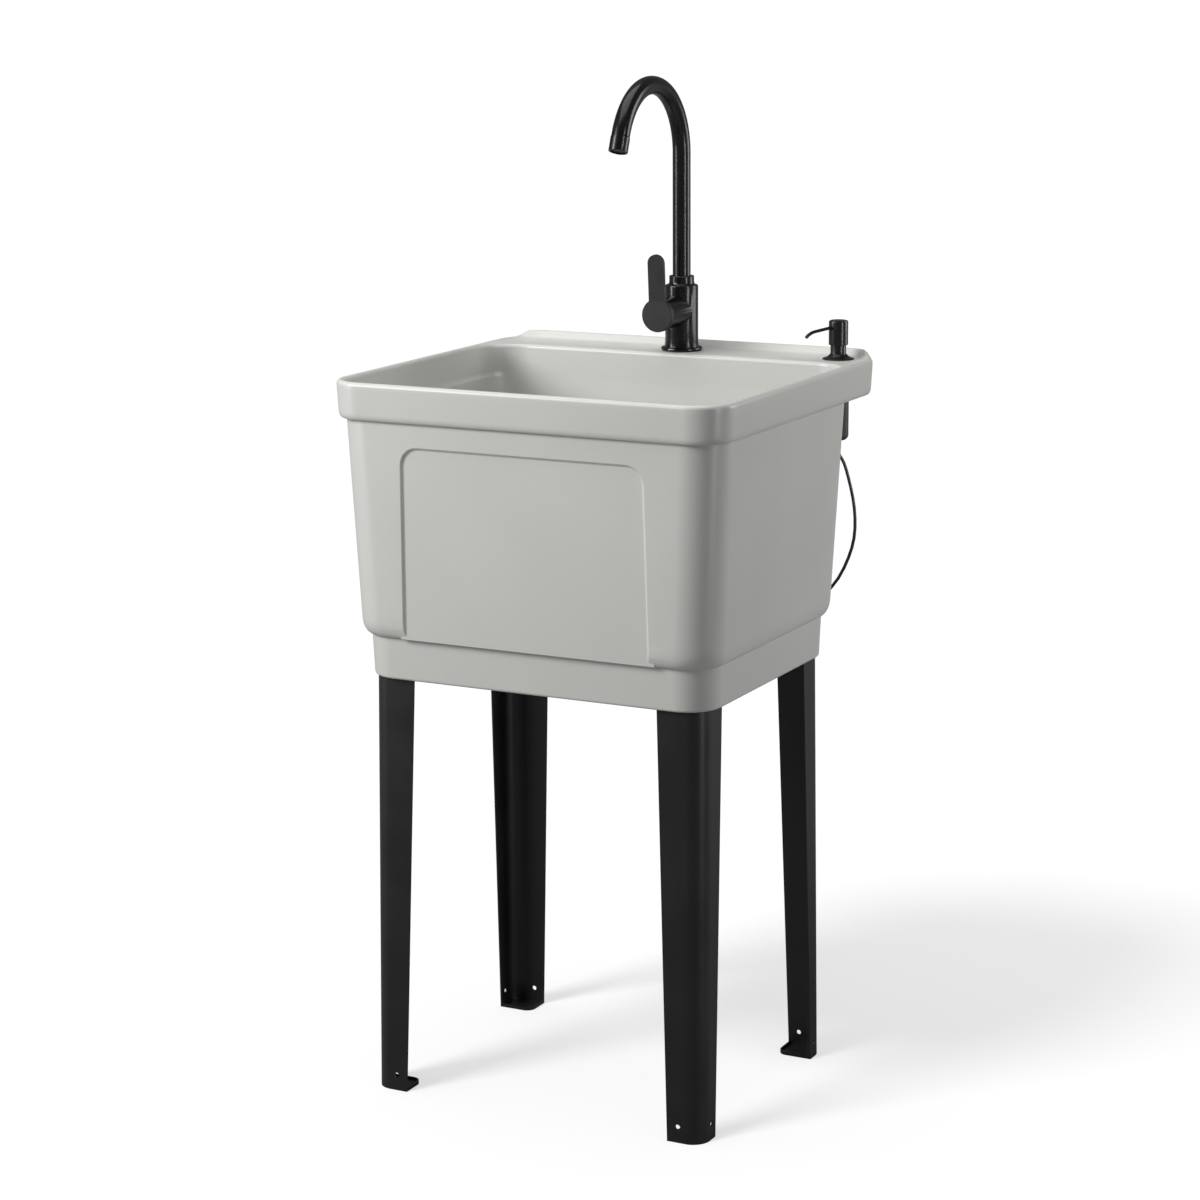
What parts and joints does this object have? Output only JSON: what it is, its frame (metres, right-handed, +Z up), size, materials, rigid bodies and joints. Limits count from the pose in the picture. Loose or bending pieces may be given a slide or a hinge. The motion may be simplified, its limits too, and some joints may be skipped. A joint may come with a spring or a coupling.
{
  "type": "utility laundry sink",
  "caption": "Freestanding laundry tub of white polymer on splayed black steel legs, with a high arched swivel tap, a front lever, a soap pump and a basket strainer.",
  "frame": {"origin": "point on the floor under the centre of the rim", "axes": "+Z up, +X to the right of a person at the front, +Y to the back where the tap stands"},
  "size_m": [0.502, 0.472, 1.1939],
  "materials": {
    "white_polymer": "satin white moulded polymer",
    "leg_coat": "satin black powder coat",
    "zinc_steel": "zinc plated",
    "strainer_steel": "brushed stainless",
    "black_rubber": "matt",
    "fibre": "matt fibre",
    "white_nut": "moulded",
    "tap_black": "satin black",
    "white_plastic": "moulded",
    "brass": "turned",
    "black_plastic": "fine grain",
    "hose_black": "satin tube"
  },
  "bodies": {
    "base": {"tub": "white_polymer", "leg_front_right": "leg_coat", "leg_front_left": "leg_coat", "leg_back_right": "leg_coat", "leg_back_left": "leg_coat", "leg_screws": "zinc_steel", "drain_strainer": "strainer_steel", "drain_gasket": "black_rubber", "drain_washer": "fibre", "drain_nut": "white_nut", "tap_gasket": "black_rubber", "tap_flange": "tap_black", "tap_body": "tap_black", "tap_neck": "tap_black", "tap_bush": "white_plastic", "tap_cartridge": "white_plastic", "tap_bonnet": "brass", "tap_washer_rubber": "black_rubber", "tap_washer_steel": "zinc_steel", "tap_nut": "brass", "soap_collar": "tap_black", "soap_shank": "black_plastic", "soap_gasket": "black_rubber", "soap_nut": "black_plastic", "soap_cylinder": "white_plastic", "tube_fitting": "black_plastic", "soap_tube": "hose_black", "soap_tube_coil": "hose_black", "tube_tie": "black_plastic", "tube_foot": "black_plastic"},
    "basket": {"drain_basket": "strainer_steel"},
    "spout": {"tap_spout": "tap_black", "tap_aerator": "tap_black", "tap_aerator_insert": "black_plastic"},
    "valve": {"tap_stem": "brass"},
    "handle": {"tap_handle": "tap_black", "tap_handle_plug": "black_plastic"},
    "plunger": {"soap_plunger": "white_plastic"},
    "pump_head": {"soap_head": "tap_black"}
  },
  "joints": [
    {"name": "basket_lift", "type": "slide", "parent": "base", "child": "basket", "axis": [0, 0, 1], "range_m": [0, 0.06]},
    {"name": "spout_swivel", "type": "hinge", "parent": "base", "child": "spout", "pos_m": [0, 0.195, 0.93], "axis": [0, 0, 1], "continuous": true},
    {"name": "lever_turn", "type": "hinge", "parent": "base", "child": "valve", "pos_m": [0, 0.1414, 0.9071], "axis": [0, 1, 0], "range_deg": [-50, 50]},
    {"name": "lever_tilt", "type": "hinge", "parent": "valve", "child": "handle", "pos_m": [0, 0.1414, 0.9071], "axis": [1, 0, 0], "range_deg": [0, 20]},
    {"name": "pump_stroke", "type": "slide", "parent": "base", "child": "plunger", "axis": [0, 0, -1], "range_m": [0, 0.0095], "stiffness_N_per_m": 800, "springref_m": -0.005},
    {"name": "pump_head_turn", "type": "hinge", "parent": "plunger", "child": "pump_head", "pos_m": [0.2075, 0.197, 0.89], "axis": [0, 0, 1], "continuous": true}
  ]
}
